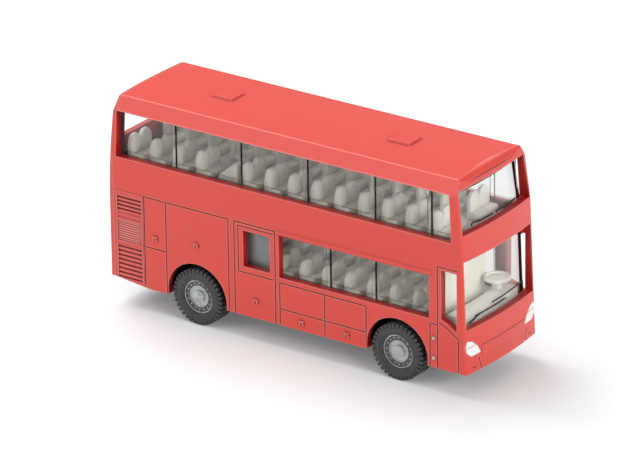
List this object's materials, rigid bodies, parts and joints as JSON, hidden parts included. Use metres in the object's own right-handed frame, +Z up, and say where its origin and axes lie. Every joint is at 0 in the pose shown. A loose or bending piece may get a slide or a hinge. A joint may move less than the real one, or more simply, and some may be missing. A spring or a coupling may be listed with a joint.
{
  "type": "toy double decker bus",
  "caption": "Small red die-cast toy double decker bus with glazed decks, moulded seats and freely rolling wheels",
  "frame": {"origin": "on the floor, under the middle of the bus", "axes": "+X towards the front of the bus, +Y towards its left side, +Z up"},
  "size_m": [0.082, 0.0242, 0.0433],
  "materials": {
    "red_paint": "gloss",
    "red_plastic": "gloss",
    "clear_plastic": "gloss",
    "seat_plastic": "satin",
    "dark_plastic": "matte",
    "bare_rivet": "satin",
    "lamp_white": "gloss",
    "wiper_black": "matte",
    "axle_steel": "satin",
    "hub_silver": "satin",
    "tyre_rubber": "matte"
  },
  "bodies": {
    "bus": {"body_shell": "red_paint", "rear_panel": "red_plastic", "upper_glazing": "clear_plastic", "lower_glazing": "clear_plastic", "upper_deck": "seat_plastic", "lower_deck": "seat_plastic", "base_plate": "dark_plastic", "base_rivets": "bare_rivet", "headlamps": "lamp_white", "upper_wipers": "wiper_black", "lower_wipers": "wiper_black"},
    "front_wheelset": {"front_axle": "axle_steel", "front_right_hub": "hub_silver", "front_right_tyre": "tyre_rubber", "front_left_hub": "hub_silver", "front_left_tyre": "tyre_rubber"},
    "rear_wheelset": {"rear_axle": "axle_steel", "rear_right_hub": "hub_silver", "rear_right_tyre": "tyre_rubber", "rear_left_hub": "hub_silver", "rear_left_tyre": "tyre_rubber"}
  },
  "joints": [
    {"name": "front_roll", "type": "hinge", "parent": "bus", "child": "front_wheelset", "pos_m": [0.0247, 0, 0.00565], "axis": [0, 1, 0], "continuous": true},
    {"name": "rear_roll", "type": "hinge", "parent": "bus", "child": "rear_wheelset", "pos_m": [-0.021, 0, 0.00565], "axis": [0, 1, 0], "continuous": true}
  ]
}
